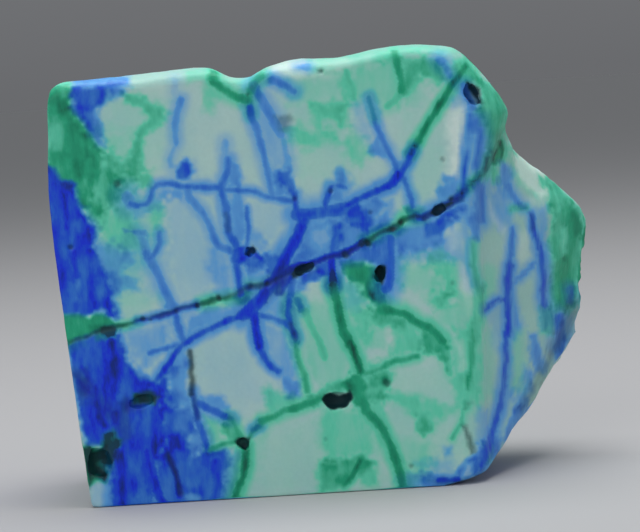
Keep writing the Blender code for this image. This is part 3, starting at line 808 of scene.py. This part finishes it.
def divided_solid():
    """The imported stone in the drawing's frame, with every edge outside the two flat faces cut up."""
    bm = bmesh.new()
    bm.from_mesh(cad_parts["stone"].data)
    bmesh.ops.remove_doubles(bm, verts=bm.verts, dist=WELD * MM)
    bm.transform(Matrix.Translation(-Vector(ORIGIN)) @ Matrix.Scale(1.0 / MM, 4))
    bm.normal_update()
    flats = [set(flat_faces(bm, flat)) for flat in (FRONT, FOOT)]
    edges = [e for e in bm.edges if not any(all(f in flat for f in e.link_faces) for flat in flats)]
    bmesh.ops.subdivide_edges(bm, edges=edges, cuts=CUTS, use_grid_fill=True)
    bmesh.ops.triangulate(bm, faces=[f for f in bm.faces if len(f.verts) > 3])
    bm.normal_update()
    return bm


def flat_grid(low, high, flat):
    """Points of a triangular grid over a flat face. On the front it is finer near the veins."""
    rows = np.arange(low[1], high[1], flat.spacing * ROW)
    columns = np.arange(low[0], high[0], flat.spacing)
    j, i = np.meshgrid(np.arange(len(rows)), np.arange(len(columns)), indexing="ij")
    grid = np.stack([columns[i] + 0.5 * flat.spacing * (j % 2), rows[j]], axis=-1).reshape(-1, 2)
    if flat is not FRONT:
        return grid
    spots = picture_pixels(np.stack([grid[:, 0], 0.0 * grid[:, 0], grid[:, 1]], axis=1))
    still = np.zeros(len(spots))
    amounts = paint(spots, still, still)
    busy = np.maximum.reduce([amounts[ink] for ink in INKS]) > BUSY
    sparse = ((j % 2 == 0) & ((i + j // 2) % 2 == 0)).ravel()
    return grid[busy | sparse]


def clear_of_edges(grid, starts, ends, gap):
    """Which points of a grid lie at least that far from every edge."""
    clear = np.ones(len(grid), bool)
    for start, end in zip(starts, ends):
        low, high = np.minimum(start, end) - gap, np.maximum(start, end) + gap
        near = ((grid > low) & (grid < high)).all(axis=1)
        if near.any():
            clear[near] = line_distance(grid[near], [start, end]) > gap
    return clear


def mesh_again(bm, flat):
    """Take a flat face's old faces out and fill it with a grid of its own."""
    bmesh.ops.delete(bm, geom=flat_faces(bm, flat), context="FACES")
    edges = [e for e in bm.edges if e.is_boundary]
    verts = sorted({v for e in edges for v in e.verts}, key=lambda v: tuple(v.co))
    number = {v: k for k, v in enumerate(verts)}
    rim = np.array([v.co for v in verts])[:, flat.along]
    pairs = [(number[e.verts[0]], number[e.verts[1]]) for e in edges]
    starts, ends = (rim[[pair[k] for pair in pairs]] for k in (0, 1))
    grid = flat_grid(rim.min(axis=0), rim.max(axis=0), flat)
    grid = grid[clear_of_edges(grid, starts, ends, RIM_GAP * flat.spacing)]
    spots = [Vector(p) for p in (*rim, *grid)]
    found, _, faces, origins, _, _ = delaunay_2d_cdt(spots, pairs, [], 1, 1e-7)
    places, faces = np.array(found), np.array(faces)
    faces = faces[inside_edges(places[faces].mean(axis=1), starts, ends)]
    made = {}
    for k in np.unique(faces).tolist():
        known = [n for n in origins[k] if n < len(verts)]
        spot = [0.0, 0.0, 0.0]
        spot[flat.along[0]], spot[flat.along[1]] = places[k]
        made[k] = verts[known[0]] if known else bm.verts.new(spot)
    for face in faces.tolist():
        bm.faces.new([made[k] for k in face])
    bm.normal_update()


def surface_arrays():
    """The stone's fine surface as points, triangles and edges."""
    bm = divided_solid()
    mesh_again(bm, FRONT)
    mesh_again(bm, FOOT)
    bm.verts.index_update()
    points = np.array([v.co for v in bm.verts])
    triangles = np.array([[v.index for v in f.verts] for f in bm.faces])
    edges = np.array([[v.index for v in e.verts] for e in bm.edges])
    bm.free()
    return points, triangles, edges


def neighbour_mean(values, edges):
    """The mean of each vertex's neighbours' values."""
    total = np.zeros_like(values)
    np.add.at(total, edges[:, 0], values[edges[:, 1]])
    np.add.at(total, edges[:, 1], values[edges[:, 0]])
    count = np.bincount(edges.ravel(), minlength=len(values)).astype(float)
    return total / (count[:, None] if values.ndim > 1 else count)


def eased(values, edges, rounds, weight=1.0):
    """The values after that many rounds of moving halfway to their neighbours' mean, times a weight."""
    for _ in range(rounds):
        values = values + 0.5 * (neighbour_mean(values, edges) - values) * weight
    return values


def unit(vectors):
    """The vectors at a length of 1."""
    return vectors / np.maximum(np.linalg.norm(vectors, axis=1), 1e-12)[:, None]


def vertex_normals(points, triangles):
    """The surface's normals at its vertices."""
    a, b, c = (points[triangles[:, k]] for k in range(3))
    facing = np.cross(b - a, c - a)
    normals = np.zeros_like(points)
    for k in range(3):
        np.add.at(normals, triangles[:, k], facing)
    return unit(normals)


def shaped(points, triangles, edges):
    """The surface with its broken sides rounded off and chipped. Also how far each vertex is hidden from the
    camera and how far it is broken, from 0 to 1."""
    normals = vertex_normals(points, triangles)
    sawn = np.zeros(len(points))
    for axis, square, limit in SAWN:
        sawn = np.maximum(sawn, (normals[:, axis] < -square) & (points[:, axis] < limit))
    broken = 1.0 - eased(sawn, edges, BLEND)
    rounded = eased(points, edges, ROUND, (SAWN_ROUND + (1.0 - SAWN_ROUND) * broken)[:, None])
    # Rounding shrinks the stone, so the smooth part of what it took away is given back.
    points = rounded + eased(points - rounded, edges, RESTORE) * (1.0 - sawn)[:, None]
    normals = vertex_normals(points, triangles)
    broad = unit(eased(normals, edges, BROAD))
    facing = (broad * unit(camera_axes()[0] - points)).sum(axis=1)
    away = ramp(-facing, *AWAY)
    above = ramp(broad[:, 2], *TOP) * ramp(points[:, 1], *BEHIND)
    skin = sum(chips(points, *layer) for layer in CHIPS)
    grain = sum(height * rough_noise(points, *layer) for height, *layer in GRAIN)
    height = broken * (away * skin + (1.0 - away) * above * np.minimum(skin, 0.0) + grain)
    hidden = 1.0 - ramp(facing, *SEEN)
    return points + normals * height[:, None], hidden, broken


def mark_relief(spots, dark):
    """How deep the crack, its beads and the specks are at each vertex, in millimetres."""
    depth = GROOVE * ramp(dark, *GROOVED)
    for column, row, radius, _, deep in BEADS:
        away = np.hypot(spots[:, 0] - column, spots[:, 1] - row)
        depth = np.maximum(depth, deep * (1.0 - ramp(away / radius, *BEAD_HOLLOW)))
    return depth


def make_stone():
    """The stone, whose vertices hold their amounts of ink and how hidden and how broken they are."""
    points, triangles, edges = surface_arrays()
    points, hidden, broken = shaped(points, triangles, edges)
    inner = hidden * np.clip(points[:, 1] / DRIFT_DEPTH, 0.0, DRIFT_MOST)
    spots = picture_pixels(points) + WARP * shift(points, WARP_SIZE, seed=71)
    spots = spots + DRIFT * inner[:, None] * shift(points, DRIFT_SIZE, seed=81)
    fray = rough_noise(points, FRAY_SIZE, seed=73, octaves=2)
    mottle = rough_noise(points * (1.0, 1.0, UPRIGHT), MOTTLE_SIZE, seed=75)
    amounts = paint(spots, fray, mottle)
    amounts["dark"] *= 1.0 - (1.0 - HIDDEN_DARK) * hidden
    sink = mark_relief(spots, amounts["dark"]) * (1.0 - hidden)
    points = points - vertex_normals(points, triangles) * sink[:, None]
    points[:, 2] = np.maximum(points[:, 2], 0.0)  # the foot stays lowest
    mesh = bpy.data.meshes.new("stone_surface")
    mesh.from_pydata([tuple(p) for p in (points + ORIGIN) * MM], [], triangles.tolist())
    full = np.ones(len(points))
    marks = (amounts["blue"], amounts["green"], amounts["dark"], full)
    ground = (hidden, broken, amounts["pale"], full)
    for name, channels in (("marks", marks), ("ground", ground)):
        layer = mesh.attributes.new(name, "FLOAT_COLOR", "POINT")
        layer.data.foreach_set("color", np.stack(channels, axis=1).astype(np.float32).ravel())
    mesh.shade_smooth()
    mesh.validate()
    return add_object("stone_surface", mesh)


# The material


# Each mineral's colour by how much of it there is.
GREENS = [(0.3, (98, 210, 178)), (0.6, (34, 166, 126)), (0.82, (8, 134, 100)), (1.0, (2, 72, 62))]
BLUES = [
    (0.3, (94, 164, 224)), (0.6, (44, 113, 210)), (0.72, (22, 84, 212)),
    (0.84, (8, 48, 218)), (1.0, (2, 40, 132)),
]

# The rock's colours.
ROCK, CLOUD = (168, 207, 206), (185, 216, 209)
STAIN, STAINED = (146, 200, 190), 0.6  # on the broken sides, and how much
SEAM_AND_HIGHLIGHT = (226, 241, 236)  # where the marks are pale: pale seams, and painted highlight on the rim, the ridge and a facet
SPECK, SPECKLED = (120, 150, 150), 0.08  # in the grain, and how much at most
DARK_AND_SHADE = (9, 46, 54)  # in the crack and the pits, and painted shade at the right and bottom edges

# The sizes of the lumps in each noise, in millimetres.
CLOUD_SIZE, GRAIN_SIZE, STREAK_SIZE, SHEEN_SIZE, BUMP_SIZE = 7.0, 0.5, 0.9, 2.5, 0.7
STREAKS, STREAK_LENGTH = (0.87, 1.13), 3.0  # their share of an amount of mineral, and their length in widths
ROUGHNESS = (0.3, 0.42)
BROKEN_ROUGHNESS, DARK_ROUGHNESS = 0.12, 0.2  # added to it
BUMP_DISTANCE = 0.1  # millimetres
BUMP, BROKEN_BUMP = 0.12, 0.6  # the bumps' strength, and what is added on the broken sides
GLOSS = 0.25
WAXINESS, WAX_DEPTH = 0.12, 1.0  # how much light goes in, and how many millimetres deep


def wire(tree, value, socket):
    """Give a socket a value, or link it to another node's output."""
    if isinstance(value, bpy.types.NodeSocket):
        tree.links.new(value, socket)
    else:
        socket.default_value = value


def feed(tree, node, inputs):
    """Give a node's inputs their values or links."""
    for name, value in inputs.items():
        wire(tree, value, node.inputs[name])


def noise_node(tree, size, detail=3.0, roughness=0.55, stretch=1.0):
    """Noise from 0 to 1 with lumps of that size in millimetres, drawn out upright by stretch."""
    place = tree.nodes.new("ShaderNodeTexCoord")
    scaled = tree.nodes.new("ShaderNodeVectorMath")
    scaled.operation = "MULTIPLY"
    feed(tree, scaled, {0: place.outputs["Object"], 1: (1.0, 1.0, 1.0 / stretch)})
    node = tree.nodes.new("ShaderNodeTexNoise")
    feed(tree, node, {"Vector": scaled.outputs["Vector"], "Scale": 1.0 / (size * MM)})
    feed(tree, node, {"Detail": detail, "Roughness": roughness})
    return node.outputs["Fac"]


def combined(tree, operation, *values):
    """The result of an operation on values or sockets."""
    node = tree.nodes.new("ShaderNodeMath")
    node.operation = operation
    feed(tree, node, dict(enumerate(values)))
    return node.outputs[0]


def spread(tree, source, low, high):
    """A noise's middle range stretched to run from low to high."""
    node = tree.nodes.new("ShaderNodeMapRange")
    feed(tree, node, {"Value": source, "From Min": 0.3, "From Max": 0.7, "To Min": low, "To Max": high})
    return node.outputs["Result"]


def mixed(tree, factor, under, over):
    """One colour laid over another."""
    node = tree.nodes.new("ShaderNodeMix")
    node.data_type = "RGBA"
    colours = [s for s in node.inputs if s.type == "RGBA"]
    for value, socket in ((factor, node.inputs["Factor"]), (under, colours[0]), (over, colours[1])):
        wire(tree, value, socket)
    return [s for s in node.outputs if s.type == "RGBA"][0]


def tinted(tree, amount, under, stops):
    """A colour under a mineral whose own colour deepens with its amount."""
    node = tree.nodes.new("ShaderNodeValToRGB")
    while len(node.color_ramp.elements) < len(stops) + 1:
        node.color_ramp.elements.new(0.5)
    first = (*srgb(*stops[0][1])[:3], 0.0)
    rows = [(0.0, first)] + [(position, srgb(*colour)) for position, colour in stops]
    for element, (position, colour) in zip(node.color_ramp.elements, rows):
        element.position, element.color = position, colour
    tree.links.new(amount, node.inputs["Fac"])
    return mixed(tree, node.outputs["Alpha"], under, node.outputs["Color"])


def attribute(tree, name):
    """The three channels of a vertex attribute."""
    node = tree.nodes.new("ShaderNodeAttribute")
    node.attribute_name = name
    parts = tree.nodes.new("ShaderNodeSeparateColor")
    tree.links.new(node.outputs["Color"], parts.inputs["Color"])
    return [parts.outputs[k] for k in ("Red", "Green", "Blue")]


def rock_colour(tree, broken, pale):
    """Clouded pale rock, stained where it is broken and whiter in its pale seams and where a highlight is
    painted.
    """
    clouds = spread(tree, noise_node(tree, CLOUD_SIZE, 4.0), 0.0, 1.0)
    specks = spread(tree, noise_node(tree, GRAIN_SIZE, 2.0), 0.0, SPECKLED)
    rock = mixed(tree, clouds, srgb(*ROCK), srgb(*CLOUD))
    rock = mixed(tree, combined(tree, "MULTIPLY", broken, STAINED), rock, srgb(*STAIN))
    # Pale seams and painted highlight whiten the rock.
    rock = mixed(tree, pale, rock, srgb(*SEAM_AND_HIGHLIGHT))
    return mixed(tree, specks, rock, srgb(*SPECK))


def mineral_colour(tree, rock, blue, green):
    """The rock's colour under as much azurite and malachite as the marks say."""
    mineral = combined(tree, "ADD", blue, green)
    blueness = combined(tree, "DIVIDE", blue, combined(tree, "MAXIMUM", mineral, 0.001))
    streaks = spread(tree, noise_node(tree, STREAK_SIZE, 3.0, 0.6, STREAK_LENGTH), *STREAKS)
    amount = combined(tree, "MULTIPLY", mineral, streaks)
    return mixed(tree, blueness, tinted(tree, amount, rock, GREENS), tinted(tree, amount, rock, BLUES))


def stone_material():
    """Waxy pale rock with azurite and malachite where the marks say."""
    material = bpy.data.materials.new("azurite_malachite")
    material.use_nodes = True
    tree = material.node_tree
    blue, green, dark = attribute(tree, "marks")
    _, broken, pale = attribute(tree, "ground")
    colour = mineral_colour(tree, rock_colour(tree, broken, pale), blue, green)
    rough = spread(tree, noise_node(tree, SHEEN_SIZE), *ROUGHNESS)
    rough = combined(tree, "MULTIPLY_ADD", broken, BROKEN_ROUGHNESS, rough)
    bump = tree.nodes.new("ShaderNodeBump")
    feed(tree, bump, {
        "Distance": BUMP_DISTANCE * MM,
        "Strength": combined(tree, "MULTIPLY_ADD", broken, BROKEN_BUMP, BUMP),
        "Height": noise_node(tree, BUMP_SIZE, 4.0, 0.6),
    })
    feed(tree, tree.nodes["Principled BSDF"], {
        # The dark ink: the crack and the pits, and painted shade at the right and bottom edges.
        "Base Color": mixed(tree, dark, colour, srgb(*DARK_AND_SHADE)),
        "Roughness": combined(tree, "MULTIPLY_ADD", dark, DARK_ROUGHNESS, rough),
        "Normal": bump.outputs["Normal"],
        "Specular IOR Level": GLOSS,
        "Subsurface Weight": WAXINESS,
        "Subsurface Scale": WAX_DEPTH * MM,
    })
    return material


# The studio, in metres and watts.


FLOOR_REACH = 40.0
FLOOR_DROP = 0.00002  # below the stone's foot
FLOOR_COLOUR, FLOOR_ROUGHNESS = (0.42, 0.42, 0.43, 1.0), 0.8
HORIZON, SKY = (0.1425, 0.1465, 0.155, 1.0), (0.31, 0.32, 0.33, 1.0)
SKY_RISE = 2.5  # a direction's rise times this is how much of the sky's colour it has
LIGHT_AIM = (0.0, 0.0, 0.027)
# Each square light's name, place, side and power.
LIGHTS = [
    ("top", (0.0, 0.02, 0.55), 0.4, 2.75),
    ("front", (-0.3, -0.6, 0.3), 0.5, 1.42),
    ("right", (0.5, -0.15, 0.15), 0.25, 0.34),
]


def add_light(name, place, side, power):
    """A square area light that faces the middle of the stone."""
    data = bpy.data.lights.new(name, "AREA")
    data.shape = "SQUARE"
    data.size = side
    data.energy = power
    lamp = add_object(name, data)
    lamp.location = place
    lamp.rotation_euler = (Vector(LIGHT_AIM) - Vector(place)).to_track_quat("-Z", "Y").to_euler()


def add_floor():
    """A plain pale floor."""
    bm = bmesh.new()
    bmesh.ops.create_grid(bm, x_segments=1, y_segments=1, size=FLOOR_REACH)
    mesh = bpy.data.meshes.new("floor")
    bm.to_mesh(mesh)
    bm.free()
    material = bpy.data.materials.new("floor")
    material.use_nodes = True
    tree = material.node_tree
    feed(tree, tree.nodes["Principled BSDF"], {"Base Color": FLOOR_COLOUR, "Roughness": FLOOR_ROUGHNESS})
    mesh.materials.append(material)
    floor = add_object("floor", mesh)
    floor.location.z = -FLOOR_DROP


def add_studio():
    """The floor, soft light from three sides, and a sky that is paler overhead."""
    add_floor()
    world = bpy.data.worlds.new("studio")
    world.use_nodes = True
    tree = world.node_tree
    place = tree.nodes.new("ShaderNodeTexCoord")
    split = tree.nodes.new("ShaderNodeSeparateXYZ")
    tree.links.new(place.outputs["Generated"], split.inputs[0])
    rise = combined(tree, "MULTIPLY", split.outputs["Z"], SKY_RISE)
    wire(tree, mixed(tree, rise, HORIZON, SKY), tree.nodes["Background"].inputs["Color"])
    bpy.context.scene.world = world
    for light in LIGHTS:
        add_light(*light)
    bpy.context.scene.view_settings.view_transform = "Standard"


add_camera()
stone = make_stone()
stone.data.materials.append(stone_material())
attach(stone, "root")
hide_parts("stone")
add_studio()
